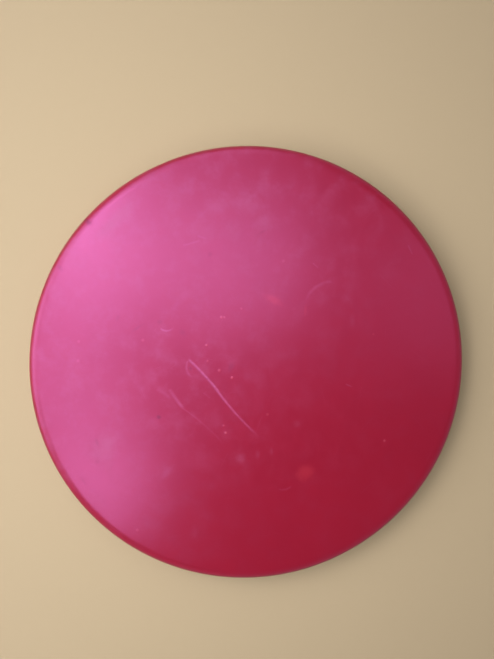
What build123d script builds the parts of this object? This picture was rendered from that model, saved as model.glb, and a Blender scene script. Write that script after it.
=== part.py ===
"""Putt-and-approach golf disc: one injection moulding, 212 mm across, with a low domed flight plate and a
deep, blunt rim. The rim's foot stands on z = 0, the disc's axis is Z and the flight plate is on top.

Everything is turned from one section in the XZ plane. Going out from the axis over the top, its outline
is the dome, the shoulder, the brow and the nose. Below the nose it turns back in under the rim to a
narrow flat foot, goes up the inner wall of the rim and returns to the axis along the underside of the
flight plate. Millimetres and degrees.
"""

import os
from math import asin, cos, degrees, radians, sin, tan

from build123d import *

# Overall
DIAMETER = 212.0
HEIGHT = 20.0

# Flight plate
PLATE_THICKNESS = 2.2
DOME_EDGE_SLOPE = 3.3  # how far the top has turned down where the dome meets the shoulder

# Shoulder, brow and nose, on the outside of the rim. The brow is the tight round between the top and the
# side.
SHOULDER_RADIUS = 12.0
SHOULDER_EDGE_SLOPE = 16.0  # how far the top has turned down where the shoulder meets the brow
BROW_RADIUS = 3.6
BROW_EDGE_SLOPE = 68.0  # the same where the brow meets the nose
NOSE_RADIUS = 14.0
UNDERCUT_RADIUS = 6.0
UNDERCUT_ANGLE = 38.0  # from the vertical, on the straight run between nose and foot

# Inside of the rim
RIM_WIDTH = 9.5  # nose to inner wall, at the foot
INNER_DRAFT = 1.0  # lets the moulding strip off its core
FOOT_OUTER_FILLET = 1.5
FOOT_INNER_FILLET = 1.0
PLATE_FILLET = 2.5

# Injection gate, in the middle of the underside: a shallow round recess with the trimmed sprue standing
# in it
GATE_DIAMETER = 9.0
GATE_DEPTH = 0.5
SPRUE_DIAMETER = 2.6
SPRUE_HEIGHT = 0.35

# Used for the printed mass only
DENSITY_G_CM3 = 1.15

OUTER_RADIUS = DIAMETER / 2
INNER_RADIUS = OUTER_RADIUS - RIM_WIDTH


class Section:
    """Where the outline's arcs start, end and turn, worked out so that each runs tangent into the next."""

    dome_slope = radians(DOME_EDGE_SLOPE)
    shoulder_slope = radians(SHOULDER_EDGE_SLOPE)
    brow_slope = radians(BROW_EDGE_SLOPE)
    undercut = radians(UNDERCUT_ANGLE)

    # Going in from the nose, each arc's centre lies on the line through the last one's centre and their
    # joint.
    nose_centre_r = OUTER_RADIUS - NOSE_RADIUS
    brow_centre_r = nose_centre_r + (NOSE_RADIUS - BROW_RADIUS) * sin(brow_slope)
    shoulder_centre_r = brow_centre_r - (SHOULDER_RADIUS - BROW_RADIUS) * sin(shoulder_slope)

    # The dome is a sphere's cap, as wide as the arcs outside it leave room for.
    dome_edge_r = shoulder_centre_r + SHOULDER_RADIUS * sin(dome_slope)
    dome_radius = dome_edge_r / sin(dome_slope)
    dome_centre_z = HEIGHT - dome_radius
    dome_edge_z = dome_centre_z + dome_radius * cos(dome_slope)

    # Heights follow from the dome down. The nose is widest at its own centre, which is also where the
    # mould parts.
    shoulder_centre_z = dome_edge_z - SHOULDER_RADIUS * cos(dome_slope)
    brow_centre_z = shoulder_centre_z + (SHOULDER_RADIUS - BROW_RADIUS) * cos(shoulder_slope)
    nose_z = brow_centre_z - (NOSE_RADIUS - BROW_RADIUS) * cos(brow_slope)

    undercut_centre_r = OUTER_RADIUS - UNDERCUT_RADIUS
    undercut_end_r = undercut_centre_r + UNDERCUT_RADIUS * cos(undercut)
    undercut_end_z = nose_z - UNDERCUT_RADIUS * sin(undercut)
    foot_outer_r = undercut_end_r - undercut_end_z * tan(undercut)

    # The underside of the plate has the dome's centre, one thickness nearer.
    underside_radius = dome_radius - PLATE_THICKNESS
    underside_apex_z = HEIGHT - PLATE_THICKNESS


def inner_corner():
    """Where the drafted inner wall meets the underside of the plate, before it is filleted."""
    r = INNER_RADIUS
    for _ in range(20):  # the two nearly stand at right angles, so this settles at once
        z = Section.dome_centre_z + (Section.underside_radius**2 - r**2) ** 0.5
        r = INNER_RADIUS - z * tan(radians(INNER_DRAFT))
    return r, z


def arc(centre, radius, from_angle, to_angle):
    """An arc about centre, its angles measured from the radial direction towards +Z."""
    return CenterArc(centre, radius, from_angle, to_angle - from_angle)


def outline():
    """The closed outline of the section, as radius and height."""
    s = Section
    corner_r, corner_z = inner_corner()
    dome = arc((0, s.dome_centre_z), s.dome_radius, 90, 90 - DOME_EDGE_SLOPE)
    shoulder = arc(
        (s.shoulder_centre_r, s.shoulder_centre_z),
        SHOULDER_RADIUS,
        90 - DOME_EDGE_SLOPE,
        90 - SHOULDER_EDGE_SLOPE,
    )
    brow = arc(
        (s.brow_centre_r, s.brow_centre_z), BROW_RADIUS, 90 - SHOULDER_EDGE_SLOPE, 90 - BROW_EDGE_SLOPE
    )
    nose = arc((s.nose_centre_r, s.nose_z), NOSE_RADIUS, 90 - BROW_EDGE_SLOPE, 0)
    below_nose = arc((s.undercut_centre_r, s.nose_z), UNDERCUT_RADIUS, 0, -UNDERCUT_ANGLE)
    straight = Line((s.undercut_end_r, s.undercut_end_z), (s.foot_outer_r, 0))
    foot = Line((s.foot_outer_r, 0), (INNER_RADIUS, 0))
    inner_wall = Line((INNER_RADIUS, 0), (corner_r, corner_z))
    corner_angle = 90 - degrees(asin(corner_r / s.underside_radius))
    underside = arc((0, s.dome_centre_z), s.underside_radius, corner_angle, 90)
    axis = Line((0, s.underside_apex_z), (0, HEIGHT))
    return [dome, shoulder, brow, nose, below_nose, straight, foot, inner_wall, underside, axis]


def turned_body():
    """The section turned about Z, with the rim's corners still sharp."""
    section = Plane.XZ * make_face(outline())
    return revolve(section, Axis.Z, 360)


def circle_edge(body, radius, z):
    """The circular edge of the body with this radius and height."""
    found = [
        edge
        for edge in body.edges().filter_by(GeomType.CIRCLE)
        if abs(edge.radius - radius) < 0.01 and abs(edge.arc_center.Z - z) < 0.01
    ]
    return found[0]


def soften_rim(body):
    """Rounds the foot's two edges and the corner between the inner wall and the plate."""
    body = fillet(circle_edge(body, *inner_corner()), PLATE_FILLET)
    body = fillet(circle_edge(body, INNER_RADIUS, 0), FOOT_INNER_FILLET)
    return fillet(circle_edge(body, Section.foot_outer_r, 0), FOOT_OUTER_FILLET)


def cut_gate(body):
    """Sinks the gate recess into the underside and leaves the sprue's stub standing in it."""
    roof_z = Section.underside_apex_z + GATE_DEPTH
    up = (Align.CENTER, Align.CENTER, Align.MAX)
    recess = Pos(0, 0, roof_z) * Cylinder(GATE_DIAMETER / 2, 2 * GATE_DEPTH, align=up)
    sprue = Pos(0, 0, roof_z + GATE_DEPTH) * Cylinder(
        SPRUE_DIAMETER / 2, SPRUE_HEIGHT + GATE_DEPTH, align=up
    )
    return body - recess + sprue


def flying_disc():
    return cut_gate(soften_rim(turned_body()))


disc = flying_disc()
os.makedirs("parts", exist_ok=True)
export_step(disc, "parts/disc.step")

print(f"nose {Section.nose_z:.2f}, rim depth {inner_corner()[1]:.2f}, foot {Section.foot_outer_r:.2f}")
print(f"dome edge r {Section.dome_edge_r:.2f} z {Section.dome_edge_z:.2f}")
print(f"solids {len(disc.solids())}, valid {disc.is_valid}, {disc.volume * DENSITY_G_CM3 / 1000:.0f} g")
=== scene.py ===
"""Looks for the golf disc: one satin, crimson-magenta moulding, lightly scuffed, on a plain pale floor.

The disc is turned from the same section as the CAD part, as one closed mesh of quads, so that its dome,
shoulder, brow, nose, rim and gate are smooth. Small dents and an uneven plate are moved into the mesh;
finer marks are in the material. Metres and degrees, in the CAD part's frame: the rim's foot is on z = 0
and the disc's axis is Z.
"""

from math import asin, atan2, cos, degrees, exp, hypot, pi, radians, sin, tan

import bpy
from mathutils import Euler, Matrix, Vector, noise


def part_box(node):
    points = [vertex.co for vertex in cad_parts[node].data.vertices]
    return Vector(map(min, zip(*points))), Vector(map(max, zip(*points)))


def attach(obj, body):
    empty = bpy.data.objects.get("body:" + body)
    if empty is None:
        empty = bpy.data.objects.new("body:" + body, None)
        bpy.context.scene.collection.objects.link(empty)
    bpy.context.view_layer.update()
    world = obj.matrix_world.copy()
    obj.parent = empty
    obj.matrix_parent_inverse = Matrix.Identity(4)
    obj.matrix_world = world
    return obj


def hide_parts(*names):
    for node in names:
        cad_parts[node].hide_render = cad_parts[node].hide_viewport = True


MM = 0.001

# The disc's section, as in the CAD part. Its diameter and height are read from the frame.
PLATE_THICKNESS = 2.2 * MM
DOME_EDGE_SLOPE = 3.3
SHOULDER_RADIUS = 12.0 * MM
SHOULDER_EDGE_SLOPE = 16.0
BROW_RADIUS = 3.6 * MM
BROW_EDGE_SLOPE = 68.0
NOSE_RADIUS = 14.0 * MM
UNDERCUT_RADIUS = 6.0 * MM
UNDERCUT_ANGLE = 38.0
RIM_WIDTH = 9.5 * MM
INNER_DRAFT = 1.0
FOOT_OUTER_FILLET = 1.5 * MM
FOOT_INNER_FILLET = 1.0 * MM
PLATE_FILLET = 2.5 * MM
GATE_RADIUS = 4.5 * MM
GATE_DEPTH = 0.5 * MM
SPRUE_RADIUS = 1.3 * MM
SPRUE_HEIGHT = 0.35 * MM
GATE_EDGE = 0.12 * MM

# How finely the section is turned
SEGMENTS = 384
PLATE_RINGS = 46

# The flight plate isn't quite even: broad hollows and rises that bend its reflections
UNEVEN_HEIGHT = 0.10 * MM
UNEVEN_SPAN = 42 * MM

# Small dents round the nose: (direction from +X, height above the nose's widest line, length, depth)
NOSE_DENTS = (
    (114, 3.6, 2.6, 0.30),
    (138, 2.0, 3.4, 0.22),
    (153, 1.2, 2.4, 0.16),
    (12, 0.4, 3.0, 0.30),
    (47, -1.6, 2.2, 0.22),
    (201, -0.6, 3.6, 0.26),
    (236, 1.0, 2.0, 0.20),
    (268, -2.2, 3.0, 0.24),
    (311, 0.6, 2.4, 0.28),
    (343, -1.2, 1.8, 0.18),
)

# Camera. Its lens is assumed, and its place and tilt were fitted for that lens, then rounded.
CAMERA_PLACE = Vector((-26.35, 36.57, 284.0)) * MM
CAMERA_TILT = (-3.847, -4.975)
CAMERA_LENS = 30.78

# Light, floor and surround. The wall's light fades out between two heights of the sight line, as sines.
LIGHT_COLOUR = (1.0, 0.985, 0.99)
FLOOR_COLOUR = (0.34, 0.265, 0.165, 1)
FLOOR_HALF_WIDTH = 30.0
WALL_COLOUR = (1.0, 0.97, 0.91, 1)
WALL_STRENGTH = 0.45
OVERHEAD_STRENGTH = 0.03
WALL_FADE = (0.42, 0.72)

# The plastic's colour runs between the first two. The tint of its gloss was fitted along with the light, and
# holds some of that light's violet.
MOTTLE_DARK = (0.198, 0.0054, 0.0154, 1)
MOTTLE_LIGHT = (0.220, 0.0066, 0.0182, 1)
GLOSS_TINT = (1.0, 0.36, 1.0, 1)

# The way toward the upper-left side, where the haze is laid on most. The sheen falls there, so this lighter
# haze is partly painted sheen.
HAZE_AND_SHEEN_SIDE = (-0.8, 0.6, 0)

# What shows on the plastic, from the lowest up: (kind, how much it covers, colour)
COATS = (
    # lighter, lavender haze, laid on most at the upper left where the sheen falls: haze and partly painted
    # sheen
    ("haze_and_sheen", 0.10, (0.40, 0.15, 0.32, 1)),
    # rubbed patches, partly painted sheen
    ("rubbed_and_sheen", 0.24, (0.36, 0.12, 0.25, 1)),
    ("red", 0.50, (0.42, 0.034, 0.050, 1)),
    # dark marks; the two on the nose are partly painted shade
    ("dark", 0.45, (0.06, 0.006, 0.016, 1)),
    ("dirt", 0.30, (0.10, 0.035, 0.032, 1)),
    ("hair", 0.04, (0.44, 0.16, 0.34, 1)),
    # scratch whitening, partly a painted reflection of the light in the groove
    ("scratched_and_glint", 0.40, (0.42, 0.12, 0.30, 1)),
    ("specks", 0.45, (0.53, 0.10, 0.16, 1)),
)


class Section:
    """The disc's outline from the top of the dome round to the gate, as (distance from the axis, height)."""

    def __init__(self, outer_radius, height):
        self.outer = outer_radius
        self.height = height
        self.place_arcs()

    def place_arcs(self):
        """Finds where each arc is centred, so that each runs tangent into the next."""
        nose_r = self.outer - NOSE_RADIUS
        brow_r = nose_r + (NOSE_RADIUS - BROW_RADIUS) * sin(radians(BROW_EDGE_SLOPE))
        shoulder_r = brow_r - (SHOULDER_RADIUS - BROW_RADIUS) * sin(radians(SHOULDER_EDGE_SLOPE))
        self.dome_edge_r = shoulder_r + SHOULDER_RADIUS * sin(radians(DOME_EDGE_SLOPE))
        self.dome_radius = self.dome_edge_r / sin(radians(DOME_EDGE_SLOPE))
        self.dome_centre = (0, self.height - self.dome_radius)
        dome_edge_z = self.dome_centre[1] + self.dome_radius * cos(radians(DOME_EDGE_SLOPE))
        shoulder_z = dome_edge_z - SHOULDER_RADIUS * cos(radians(DOME_EDGE_SLOPE))
        brow_z = shoulder_z + (SHOULDER_RADIUS - BROW_RADIUS) * cos(radians(SHOULDER_EDGE_SLOPE))
        self.nose_z = brow_z - (NOSE_RADIUS - BROW_RADIUS) * cos(radians(BROW_EDGE_SLOPE))
        self.shoulder_centre = (shoulder_r, shoulder_z)
        self.brow_centre = (brow_r, brow_z)
        self.nose_centre = (nose_r, self.nose_z)
        self.undercut_centre = (self.outer - UNDERCUT_RADIUS, self.nose_z)
        self.inner = self.outer - RIM_WIDTH

    def corners(self):
        """The rim's corners below the nose, before rounding, and the gate's centre on the underside."""
        slant_r = self.undercut_centre[0] + UNDERCUT_RADIUS * cos(radians(UNDERCUT_ANGLE))
        slant_z = self.nose_z - UNDERCUT_RADIUS * sin(radians(UNDERCUT_ANGLE))
        foot_r = slant_r - slant_z * tan(radians(UNDERCUT_ANGLE))
        underside = self.dome_radius - PLATE_THICKNESS
        plate_z = self.dome_centre[1] + (underside**2 - self.inner**2) ** 0.5
        plate_r = self.inner - plate_z * tan(radians(INNER_DRAFT))
        return (slant_r, slant_z), (foot_r, 0), (self.inner, 0), (plate_r, plate_z)

    def points(self):
        """The whole outline, from the top of the dome to the gate's middle."""
        slant, foot_outer, foot_inner, plate = self.corners()
        underside = self.dome_radius - PLATE_THICKNESS
        slope = asin(plate[0] / underside)
        inward = (plate[0] - cos(slope), plate[1] + sin(slope))
        top = arc(self.dome_centre, self.dome_radius, 90, 90 - DOME_EDGE_SLOPE, PLATE_RINGS)
        shoulder = arc(
            self.shoulder_centre, SHOULDER_RADIUS, 90 - DOME_EDGE_SLOPE, 90 - SHOULDER_EDGE_SLOPE, 6
        )
        brow = arc(self.brow_centre, BROW_RADIUS, 90 - SHOULDER_EDGE_SLOPE, 90 - BROW_EDGE_SLOPE, 12)
        nose = arc(self.nose_centre, NOSE_RADIUS, 90 - BROW_EDGE_SLOPE, 0, 8)
        undercut = arc(self.undercut_centre, UNDERCUT_RADIUS, 0, -UNDERCUT_ANGLE, 9)
        outer_foot = fillet(slant, foot_outer, foot_inner, FOOT_OUTER_FILLET, 5)
        inner_foot = fillet(foot_outer, foot_inner, plate, FOOT_INNER_FILLET, 6)
        root = fillet(foot_inner, plate, inward, PLATE_FILLET, 9)
        root_angle = 90 - degrees(asin(root[-1][0] / underside))
        gate_angle = 90 - degrees(asin((GATE_RADIUS + GATE_EDGE) / underside))
        ceiling = arc(self.dome_centre, underside, root_angle, gate_angle, PLATE_RINGS)
        rim = brow[1:] + nose[1:] + undercut[1:] + run(undercut[-1], outer_foot[0], 5) + outer_foot
        rim += run(outer_foot[-1], inner_foot[0], 3) + inner_foot
        rim += run(inner_foot[-1], root[0], 9) + root
        return top + shoulder[1:] + rim + ceiling[1:] + self.gate(ceiling[-1][1])

    def gate(self, z):
        """The gate's recess and the sprue's stub in it, with their edges just broken, in to the axis."""
        roof = z + GATE_DEPTH
        tip = roof - SPRUE_HEIGHT
        recess = [(GATE_RADIUS, z + GATE_EDGE), (GATE_RADIUS, roof - GATE_EDGE)]
        recess += [(GATE_RADIUS - GATE_EDGE, roof), (SPRUE_RADIUS + GATE_EDGE, roof)]
        stub = [(SPRUE_RADIUS, roof - GATE_EDGE), (SPRUE_RADIUS, tip + GATE_EDGE)]
        return recess + stub + [(SPRUE_RADIUS - GATE_EDGE, tip), (0, tip)]


def arc(centre, radius, start, end, steps):
    """Points along an arc, its angles in degrees from the radial direction towards +Z."""
    turns = [radians(start + (end - start) * i / steps) for i in range(steps + 1)]
    return [(centre[0] + radius * cos(turn), centre[1] + radius * sin(turn)) for turn in turns]


def run(start, end, steps):
    """The points between two ends of a straight run, without the ends."""
    shares = [i / steps for i in range(1, steps)]
    return [(start[0] + (end[0] - start[0]) * s, start[1] + (end[1] - start[1]) * s) for s in shares]


def fillet(before, corner, after, radius, steps):
    """Points along the round that replaces the corner between two straight runs."""
    corner = Vector(corner)
    back = (Vector(before) - corner).normalized()
    on = (Vector(after) - corner).normalized()
    half = back.angle(on) / 2
    centre = corner + (back + on).normalized() * radius / sin(half)
    first = corner + back * radius / tan(half) - centre
    last = corner + on * radius / tan(half) - centre
    turn = pi - 2 * half
    points = []
    for i in range(steps + 1):
        share = i / steps
        spoke = (first * sin((1 - share) * turn) + last * sin(share * turn)) / sin(turn)
        points.append(tuple(centre + spoke))
    return points


def turn_section(name, points):
    """Turns a section about Z into a closed mesh of quads, with a fan of triangles at each end of it."""
    rings = points[1:-1]
    verts = []
    for r, z in rings:
        for i in range(SEGMENTS):
            angle = 2 * pi * i / SEGMENTS
            verts.append((r * cos(angle), r * sin(angle), z))
    faces = []
    for ring in range(len(rings) - 1):
        for i in range(SEGMENTS):
            a = ring * SEGMENTS + i
            b = ring * SEGMENTS + (i + 1) % SEGMENTS
            faces.append((a, a + SEGMENTS, b + SEGMENTS, b))
    top = len(verts)
    last = (len(rings) - 1) * SEGMENTS
    verts += [(0, 0, points[0][1]), (0, 0, points[-1][1])]
    for i in range(SEGMENTS):
        j = (i + 1) % SEGMENTS
        faces.append((top, i, j))
        faces.append((top + 1, last + j, last + i))
    mesh = bpy.data.meshes.new(name)
    mesh.from_pydata(verts, [], faces)
    mesh.shade_smooth()
    mesh.set_sharp_from_angle(angle=radians(40))
    return mesh


def plate_rise(x, y, rim_r):
    """How far the plate stands above or below its true dome at a place, dying away at the rim."""
    share = min(hypot(x, y) / rim_r, 1)
    wave = noise.noise(Vector((x / UNEVEN_SPAN, y / UNEVEN_SPAN, 3.7)))
    return UNEVEN_HEIGHT * wave * (1 - share**4)


def dent_depth(angle, height, radius):
    """How far the nose is pushed in at this direction and this height above its widest line."""
    depth = 0
    for direction, dent_height, length, deepest in NOSE_DENTS:
        off = (angle - direction + 180) % 360 - 180
        along = radians(off) * radius / MM / (length / 2)
        across = (height / MM - dent_height) / (length / 3)
        depth += deepest * exp(-(along**2) - across**2)
    return depth * MM


def wear_mesh(mesh, section):
    """Moves the plate's unevenness and the nose's dents into the mesh."""
    for vertex in mesh.vertices:
        x, y, z = vertex.co
        r = hypot(x, y)
        if r < section.inner:
            vertex.co.z += plate_rise(x, y, section.inner)
        elif r > section.inner + RIM_WIDTH / 3:
            push = dent_depth(degrees(atan2(y, x)), z - section.nose_z, section.outer)
            vertex.co.x -= push * x / r
            vertex.co.y -= push * y / r


class Shader:
    """Short calls that each add one node, feed its inputs and give its output."""

    def __init__(self, name):
        self.material = bpy.data.materials.new(name)
        self.material.use_nodes = True
        self.tree = self.material.node_tree
        self.surface = self.tree.nodes["Principled BSDF"]

    def feed(self, socket, value):
        if isinstance(value, bpy.types.NodeSocket):
            self.tree.links.new(value, socket)
        else:
            socket.default_value = value

    def add(self, kind, inputs, output=0, **settings):
        node = self.tree.nodes.new(kind)
        for name, value in settings.items():
            setattr(node, name, value)
        for key, value in inputs.items():
            self.feed(node.inputs[key], value)
        return node.outputs[output]

    def math(self, operation, *values, clamp=False):
        inputs = dict(enumerate(values))
        return self.add("ShaderNodeMath", inputs, operation=operation, use_clamp=clamp)

    def vector(self, operation, *values, output=0):
        inputs = dict(enumerate(values))
        return self.add("ShaderNodeVectorMath", inputs, output, operation=operation)

    def step(self, value, low, high):
        """0 where value is at low, 1 where it is at high, and smooth between."""
        inputs = {"Value": value, "From Min": low, "From Max": high}
        return self.add("ShaderNodeMapRange", inputs, interpolation_type="SMOOTHSTEP")

    def times(self, first, *rest):
        for value in rest:
            first = self.math("MULTIPLY", first, value)
        return first

    def most(self, first, *rest):
        for value in rest:
            first = self.math("MAXIMUM", first, value)
        return first

    def blend(self, factor, a, b):
        inputs = {"Factor": factor, 6: a, 7: b}
        return self.add("ShaderNodeMix", inputs, 2, data_type="RGBA")

    def noise(self, place, span, detail=2.0, roughness=0.5, shift=0.0):
        """Smooth noise from 0 to 1 with features about span across."""
        inputs = {"Vector": place, "Scale": 1 / span, "Detail": detail, "Roughness": roughness, "W": shift}
        return self.add("ShaderNodeTexNoise", inputs, noise_dimensions="4D")

    def local(self, place, centre, direction):
        """Distances along and across a direction, from a centre on the disc."""
        turn = radians(direction)
        origin = Vector((centre[0], centre[1], 0)) * MM
        distances = []
        for way in (Vector((cos(turn), sin(turn), 0)), Vector((-sin(turn), cos(turn), 0))):
            reach = self.vector("DOT_PRODUCT", place, way, output="Value")
            distances.append(self.math("SUBTRACT", reach, origin.dot(way)))
        return distances


# Marks on the top that have a place of their own. Places and sizes are in millimetres from the disc's axis.
# Scratches: (start, end, bow to the left, half width, strength at the start, strength at the end). Their
# lavender whitening is partly a painted reflection of the light in the groove.
SCRATCHES = (
    ((-31.2, 5.2), (-14.5, -13.9), 0.65, 0.95, 0.75, 0.80),
    ((-19.3, -7.7), (3.2, -33.6), -0.90, 0.90, 0.75, 0.30),
    ((-31.2, 4.4), (-28.8, -4.0), -1.80, 0.85, 0.36, 0.28),
    ((-40.0, -9.0), (-33.0, -19.0), -0.30, 1.20, 0.30, 0.50),
    ((-46.0, -9.0), (-39.0, -14.0), 0.30, 1.20, 0.15, 0.20),
    ((-35.0, -17.5), (-13.5, -37.0), 1.0, 0.60, 0.20, 0.12),
    ((-24.0, -11.0), (-20.5, -14.0), 0.0, 0.60, 0.18, 0.12),
    ((-44.0, 19.5), (-37.5, 20.0), -1.4, 0.80, 0.70, 0.35),
    ((-33.5, 58.0), (-24.5, 60.5), -0.2, 0.80, 0.35, 0.35),
    ((-26.5, 62.5), (-22.0, 61.0), 0.0, 0.80, 0.40, 0.20),
    ((37.5, 41.5), (24.0, 31.0), -2.8, 1.30, 0.20, 0.25),
    ((28.0, 50.0), (31.0, 47.5), 0.0, 0.50, 0.35, 0.20),
    ((44.5, -8.0), (48.0, -9.5), 0.0, 0.50, 0.35, 0.20),
    ((75.0, 59.0), (77.5, 54.0), 0.0, 0.60, 0.35, 0.25),
    ((12.0, -59.0), (19.0, -57.0), -1.2, 0.60, 0.20, 0.20),
)
# Specks: (middle, radius, strength)
SPECKS = (
    ((-22.5, 11.5), 0.56, 0.85),
    ((-22.0, 4.0), 0.56, 0.42),
    ((-16.5, -0.5), 0.69, 0.51),
    ((-10.5, -4.0), 0.62, 0.77),
    ((-13.5, -30.5), 0.62, 0.77),
    ((-14.5, -27.0), 0.50, 0.51),
    ((-15.5, 24.5), 0.62, 0.77),
    ((-14.0, 24.5), 0.56, 0.59),
    ((-6.0, 28.5), 0.56, 0.51),
    ((6.5, -22.0), 0.69, 0.34),
    ((64.5, -36.5), 0.56, 0.59),
    ((14.0, 51.0), 0.75, 0.34),
    ((58.0, 16.0), 0.56, 0.26),
    ((-52.0, 14.0), 0.75, 0.34),
    ((-81.5, 13.5), 0.75, 0.42),
    ((-82.0, 4.5), 0.75, 0.42),
    ((-56.0, -77.5), 0.75, 0.42),
)
# Hazy, rubbed patches, duller and lighter; their lavender is partly painted sheen, and the long one at the
# upper-left edge is mostly painted sheen: (middle, direction, length, width, strength)
RUBBED_AND_SHEEN_PATCHES = (
    ((-6.5, -43.0), 10.0, 6.5, 5.5, 0.45),
    ((2.0, -41.5), 90.0, 5.0, 3.0, 0.25),
    ((8.5, -40.0), 90.0, 5.0, 2.5, 0.25),
    ((-17.0, 76.0), 15.0, 15.0, 9.0, 0.45),
    ((-2.0, 76.5), -10.0, 19.0, 11.0, 0.45),
    ((4.0, 70.0), 20.0, 10.0, 7.0, 0.4),
    # mostly painted sheen, where the sheen is strongest
    ((-64.0, 69.0), 43.0, 34.0, 9.0, 0.9),
    ((-70.0, -37.0), 65.0, 24.0, 15.0, 0.7),
    ((-42.0, -50.0), 50.0, 9.0, 4.0, 0.3),
    ((-28.5, -80.0), 90.0, 9.0, 4.5, 0.2),
    ((21.0, -27.0), 0.0, 5.0, 4.5, 0.2),
    ((47.5, 23.0), 90.0, 8.0, 4.0, 0.2),
    ((43.5, 33.0), 0.0, 6.0, 6.0, 0.15),
)
# Redder patches, where something has rubbed off: (middle, direction, length, width, strength)
RED_PATCHES = (
    ((9.0, 33.0), -27.0, 12.0, 5.0, 0.6),
    ((25.0, -51.0), 20.0, 11.0, 10.0, 0.45),
    ((24.5, 27.5), 85.0, 6.0, 2.0, 0.3),
)
# Dark marks: (middle, direction, length, width, strength). The last two, on the nose over dents, are darker
# where the sheen is missing, and are partly painted shade.
DARK_MARKS_AND_SHADE = (
    ((-45.0, -22.5), 0.0, 2.6, 2.4, 1.0),
    ((-20.5, 54.0), 60.0, 3.0, 2.6, 0.5),
    ((-11.0, 1.0), 70.0, 6.0, 4.0, 0.35),
    ((-30.0, 0.5), -60.0, 2.6, 1.8, 0.5),
    ((-44.0, 22.5), 0.0, 3.4, 2.8, 0.35),
    ((-54.0, 20.0), 33.0, 8.0, 1.8, 0.35),
    ((-63.5, 24.5), 65.0, 4.0, 2.0, 0.35),
    ((-33.5, 17.5), -35.0, 5.0, 4.0, 0.30),
    ((-74.0, -34.0), -70.0, 6.0, 1.8, 0.50),
    ((-74.0, -43.5), 0.0, 3.0, 2.4, 0.40),
    ((-81.0, -52.5), -55.0, 7.0, 1.8, 0.40),
    ((4.0, 64.5), 28.0, 9.0, 1.4, 0.35),
    # on the nose, over dents: partly painted shade where the sheen is missing
    ((-76.5, 68.5), -42.0, 6.0, 3.6, 1.0),
    ((-89.5, 47.5), -60.0, 5.0, 3.0, 0.7),
)


def scratches(shader, place):
    """The listed scratches: each a thin bowed line, abrupt at its start and finer at its end."""
    strongest = 0.0
    for start, end, bow, width, first, last in SCRATCHES:
        reach = Vector(end) - Vector(start)
        along, across = shader.local(place, start, degrees(atan2(reach.y, reach.x)))
        share = shader.math("DIVIDE", along, reach.length * MM)
        rest = shader.math("SUBTRACT", 1.0, share)
        sag = shader.times(share, rest, 4 * bow * MM)
        off = shader.math("ABSOLUTE", shader.math("SUBTRACT", across, sag))
        line = shader.step(off, width * MM, 0.0)
        ends = shader.times(shader.step(share, 0.0, 0.06), shader.step(rest, 0.0, 0.25))
        strength = shader.math("MULTIPLY_ADD", share, last - first, first)
        strongest = shader.most(strongest, shader.times(line, ends, strength))
    uneven = shader.step(shader.noise(place, 2.0 * MM, detail=2.0, shift=6.0), 0.20, 0.60)
    return shader.times(strongest, shader.math("MULTIPLY_ADD", uneven, 0.5, 0.5))


def specks(shader, place):
    """Small round specks, seen from above."""
    flat = shader.vector("MULTIPLY", place, (1, 1, 0))
    strongest = 0.0
    for middle, radius, strength in SPECKS:
        away = shader.vector("DISTANCE", flat, (middle[0] * MM, middle[1] * MM, 0), output="Value")
        dot = shader.times(shader.step(away, radius * MM * 1.4, radius * MM * 0.4), strength)
        strongest = shader.most(strongest, dot)
    return strongest


def patches(shader, place, listed):
    """Soft oval patches, their edges broken up by noise."""
    ragged = shader.noise(place, 3.5 * MM, detail=4.0, roughness=0.65)
    strongest = 0.0
    for middle, direction, length, width, strength in listed:
        along, across = shader.local(place, middle, direction)
        along = shader.math("DIVIDE", along, length * MM / 2)
        across = shader.math("DIVIDE", across, width * MM / 2)
        square = shader.math("ADD", shader.times(along, along), shader.times(across, across))
        away = shader.math("SQRT", square)
        away = shader.math("ADD", away, shader.math("MULTIPLY_ADD", ragged, 1.4, -0.7))
        strongest = shader.most(strongest, shader.times(shader.step(away, 1.1, 0.1), strength))
    return strongest


def hairlines(shader, place, cell, length, width, seed):
    """One fine straight hairline, turned at random, in each cell of a random pattern."""
    cells = shader.tree.nodes.new("ShaderNodeTexVoronoi")
    cells.voronoi_dimensions = "2D"
    moved = shader.vector("ADD", place, (seed, seed * 0.7, 0))
    shader.feed(cells.inputs["Vector"], moved)
    cells.inputs["Scale"].default_value = 1 / cell
    offset = shader.vector("SUBTRACT", moved, cells.outputs["Position"])
    chance = shader.tree.nodes.new("ShaderNodeSeparateColor")
    shader.feed(chance.inputs[0], cells.outputs["Color"])
    turned = shader.add(
        "ShaderNodeVectorRotate",
        {"Vector": offset, "Angle": shader.times(chance.outputs[0], pi)},
        rotation_type="Z_AXIS",
    )
    split = shader.tree.nodes.new("ShaderNodeSeparateXYZ")
    shader.feed(split.inputs[0], turned)
    line = shader.step(shader.math("ABSOLUTE", split.outputs[1]), width, width * 0.3)
    taper = shader.step(shader.math("ABSOLUTE", split.outputs[0]), length / 2, length / 5)
    return shader.times(line, taper, shader.step(chance.outputs[1], 0.35, 1.0))


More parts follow.
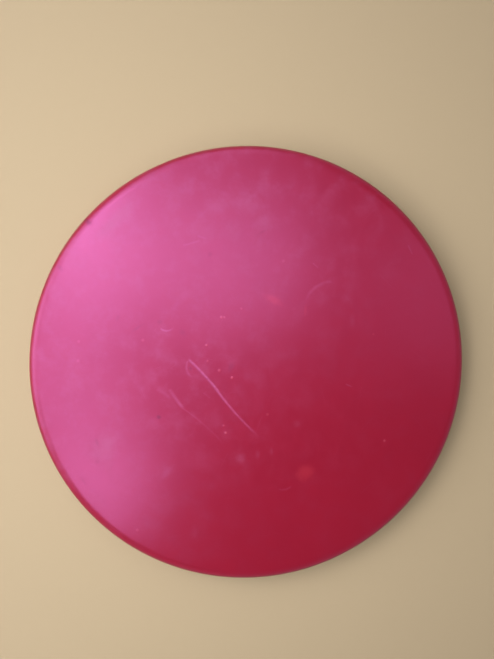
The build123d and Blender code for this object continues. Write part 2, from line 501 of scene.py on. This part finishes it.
def wear(shader):
    """Where each kind of grain, mark, dirt, painted sheen and painted shade shows on the disc, from 0 to 1.
    """
    at = shader.tree.nodes.new("ShaderNodeTexCoord")
    place = at.outputs["Object"]
    facing = shader.tree.nodes.new("ShaderNodeSeparateXYZ")
    shader.feed(facing.inputs[0], at.outputs["Normal"])
    split = shader.tree.nodes.new("ShaderNodeSeparateXYZ")
    shader.feed(split.inputs[0], place)
    top = shader.step(facing.outputs[2], 0.15, 0.5)
    top_and_side = shader.step(facing.outputs[2], -0.1, 0.2)
    near_floor = shader.step(split.outputs[2], 9 * MM, 0.5 * MM)
    cloud = shader.noise(place, 10 * MM, detail=5.0, roughness=0.65, shift=4.0)
    toward = shader.vector("DOT_PRODUCT", place, HAZE_AND_SHEEN_SIDE, output="Value")
    haze_and_sheen_weight = shader.math("MULTIPLY_ADD", shader.step(toward, -50 * MM, 50 * MM), 0.85, 0.15)
    coarse = hairlines(shader, place, 17 * MM, 13 * MM, 0.16 * MM, 1.3)
    fine = hairlines(shader, place, 8 * MM, 5.5 * MM, 0.13 * MM, 2.9)
    grime = shader.step(shader.noise(place, 5 * MM, 6.0, 0.7, 9.0), 0.42, 0.75)
    return {
        "mottle": shader.noise(place, 30 * MM, detail=3.0),
        "grain": shader.noise(place, 1.1 * MM, detail=4.0, roughness=0.6),
        "cloud": cloud,
        # haze, weighted to the upper left where the sheen falls, so partly painted sheen
        "haze_and_sheen": shader.times(shader.step(cloud, 0.42, 0.75), haze_and_sheen_weight),
        "hair": shader.most(coarse, fine),
        # scratch whitening, partly a painted reflection of the light in the groove
        "scratched_and_glint": shader.times(top, scratches(shader, place)),
        "specks": shader.times(top, specks(shader, place)),
        # rubbed patches, partly painted sheen
        "rubbed_and_sheen": shader.times(top, patches(shader, place, RUBBED_AND_SHEEN_PATCHES)),
        "red": shader.times(top, patches(shader, place, RED_PATCHES)),
        # dark marks; the two on the nose are partly painted shade
        "dark": shader.times(top_and_side, patches(shader, place, DARK_MARKS_AND_SHADE)),
        "dirt": shader.times(near_floor, grime),
    }


def plastic_colour(shader, worn):
    """The mottled plastic with each coat laid over it in turn; the haze, rubbed, scratched and dark coats
    are partly painted sheen, reflection and shade.
    """
    colour = shader.blend(worn["mottle"], MOTTLE_DARK, MOTTLE_LIGHT)
    for kind, cover, coat in COATS:
        colour = shader.blend(shader.times(worn[kind], cover), colour, coat)
    return colour


def plastic_roughness(shader, worn):
    """Satin, and duller wherever the plastic is hazed, rubbed, scratched or dirty."""
    lines = shader.most(worn["scratched_and_glint"], shader.times(worn["hair"], 0.4))
    rough = shader.math("MULTIPLY_ADD", worn["haze_and_sheen"], 0.08, 0.28)
    rough = shader.math("MULTIPLY_ADD", worn["grain"], 0.06, rough)
    rough = shader.math("MULTIPLY_ADD", worn["rubbed_and_sheen"], 0.10, rough)
    rough = shader.math("MULTIPLY_ADD", lines, 0.15, rough)
    return shader.math("MULTIPLY_ADD", shader.most(worn["dirt"], worn["dark"]), 0.25, rough, clamp=True)


def plastic_relief(shader, worn):
    """The bump: grain and a gentle unevenness, with lines cut in and specks standing up."""
    lines = shader.most(worn["scratched_and_glint"], shader.times(worn["hair"], 0.15))
    relief = shader.times(worn["grain"], 0.010 * MM)
    relief = shader.math("MULTIPLY_ADD", worn["cloud"], 0.030 * MM, relief)
    relief = shader.math("MULTIPLY_ADD", lines, -0.050 * MM, relief)
    relief = shader.math("MULTIPLY_ADD", worn["specks"], 0.060 * MM, relief)
    return shader.add("ShaderNodeBump", {"Height": relief, "Distance": 1.0, "Strength": 1.0})


def disc_plastic():
    """Coloured-through satin elastomer, with haze, hairlines, marks and a little ground-in dirt, partly
    painted sheen, reflection and shade.
    """
    shader = Shader("disc_plastic")
    worn = wear(shader)
    surface = shader.surface.inputs
    shader.feed(surface["Base Color"], plastic_colour(shader, worn))
    shader.feed(surface["Roughness"], plastic_roughness(shader, worn))
    shader.feed(surface["Normal"], plastic_relief(shader, worn))
    surface["IOR"].default_value = 1.70
    surface["Specular Tint"].default_value = GLOSS_TINT
    surface["Subsurface Weight"].default_value = 0.12
    surface["Subsurface Radius"].default_value = (1.0, 0.20, 0.35)
    surface["Subsurface Scale"].default_value = 2.0 * MM
    return shader.material


def make_disc():
    """The disc, in place of the CAD node."""
    low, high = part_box("disc")
    section = Section((high.x - low.x) / 2, high.z - low.z)
    mesh = turn_section("disc_body", section.points())
    wear_mesh(mesh, section)
    mesh.materials.append(disc_plastic())
    disc = bpy.data.objects.new("disc_body", mesh)
    bpy.context.collection.objects.link(disc)
    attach(disc, "root")
    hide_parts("disc")


def make_floor():
    """A plain, pale, warm floor, wide enough to fill every view."""
    shader = Shader("floor")
    shader.surface.inputs["Base Color"].default_value = FLOOR_COLOUR
    shader.surface.inputs["Roughness"].default_value = 0.85
    mesh = bpy.data.meshes.new("floor")
    half = FLOOR_HALF_WIDTH
    corners = [(-half, -half, 0), (half, -half, 0), (half, half, 0), (-half, half, 0)]
    mesh.from_pydata(corners, [], [(0, 1, 2, 3)])
    mesh.materials.append(shader.material)
    floor = bpy.data.objects.new("floor", mesh)
    bpy.context.collection.objects.link(floor)


def link_light(name, data, aim):
    """Puts a faintly warm light in the scene, shining along aim and unseen by the camera."""
    data.color = LIGHT_COLOUR
    light = bpy.data.objects.new(name, data)
    light.visible_camera = False
    light.rotation_euler = aim.to_track_quat("-Z", "Y").to_euler()
    bpy.context.collection.objects.link(light)
    return light


def add_panel(name, place, target, size, power, spread=180):
    """A soft rectangular panel at a place, facing a target. A grid narrows its spread."""
    data = bpy.data.lights.new(name, "AREA")
    data.shape = "RECTANGLE"
    data.size, data.size_y = size
    data.energy = power
    data.spread = radians(spread)
    light = link_light(name, data, Vector(target) - Vector(place))
    light.location = place


def add_even_light(name, azimuth, elevation, breadth, strength):
    """A broad light that is the same everywhere, from an azimuth and elevation. Its breadth is an angle."""
    data = bpy.data.lights.new(name, "SUN")
    data.energy = strength
    data.angle = radians(breadth)
    turn = radians(azimuth)
    flat = cos(radians(elevation))
    link_light(name, data, -Vector((flat * cos(turn), flat * sin(turn), sin(radians(elevation)))))


def surround():
    """A world that is pale near the horizon, as a far wall is, and dim overhead."""
    world = bpy.data.worlds.new("surround")
    world.use_nodes = True
    tree = world.node_tree
    direction = tree.nodes.new("ShaderNodeTexCoord")
    split = tree.nodes.new("ShaderNodeSeparateXYZ")
    fade = tree.nodes.new("ShaderNodeMapRange")
    fade.interpolation_type = "SMOOTHSTEP"
    fade.inputs["From Min"].default_value = WALL_FADE[0]
    fade.inputs["From Max"].default_value = WALL_FADE[1]
    fade.inputs["To Min"].default_value = WALL_STRENGTH
    fade.inputs["To Max"].default_value = OVERHEAD_STRENGTH
    background = tree.nodes["Background"]
    background.inputs["Color"].default_value = WALL_COLOUR
    tree.links.new(direction.outputs["Generated"], split.inputs[0])
    tree.links.new(split.outputs["Z"], fade.inputs["Value"])
    tree.links.new(fade.outputs["Result"], background.inputs["Strength"])
    bpy.context.scene.world = world


def light_scene():
    """Two broad even lights, soft panels mostly over the left side, and a pale surround.

    The places were chosen. The strengths were fitted, then rounded and adjusted.
    """
    add_even_light("window", 172, 33, 60, 1.20)
    add_even_light("key", 105, 50, 45, 1.00)
    add_panel("left", (-0.50, 0.03, 0.36), (-0.08, 0, 0), (0.75, 0.20), 0.42, spread=80)
    add_panel("near_lower", (-0.165, -0.185, 0.33), (-0.08, -0.06, 0), (0.12, 0.12), 0.31)
    add_panel("near_left", (-0.20, -0.05, 0.33), (-0.09, 0, 0), (0.14, 0.14), 0.22)
    add_panel("near_upper", (-0.17, 0.08, 0.33), (-0.07, 0.04, 0), (0.12, 0.12), 0.27)
    add_panel("upper_left", (-0.22, 0.20, 0.40), (0, 0, 0), (0.15, 0.15), 0.62)
    add_panel("broad", (-0.30, 0, 0.70), (-0.05, 0, 0), (0.50, 0.70), 0.95)
    add_panel("over_top", (0, 0.10, 0.50), (0, 0.03, 0), (0.26, 0.20), 0.08, spread=60)
    add_panel("right", (0.60, 0.10, 0.90), (0, 0, 0), (0.40, 0.40), 0.52)
    surround()
    bpy.context.scene.view_settings.view_transform = "Standard"


def add_camera():
    """Nearly straight above, a little towards the back left."""
    data = bpy.data.cameras.new("camera")
    data.lens = CAMERA_LENS
    data.clip_start = 0.01
    camera = bpy.data.objects.new("camera", data)
    camera.location = CAMERA_PLACE
    camera.rotation_euler = Euler((radians(CAMERA_TILT[0]), radians(CAMERA_TILT[1]), 0), "XYZ")
    bpy.context.collection.objects.link(camera)
    bpy.context.scene.camera = camera


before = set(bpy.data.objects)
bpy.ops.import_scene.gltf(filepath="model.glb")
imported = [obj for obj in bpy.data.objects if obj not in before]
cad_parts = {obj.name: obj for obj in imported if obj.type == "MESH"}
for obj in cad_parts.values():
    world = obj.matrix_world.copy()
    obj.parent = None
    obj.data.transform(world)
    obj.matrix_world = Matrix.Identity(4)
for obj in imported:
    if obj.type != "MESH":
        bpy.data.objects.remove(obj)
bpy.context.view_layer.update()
make_disc()
make_floor()
light_scene()
add_camera()
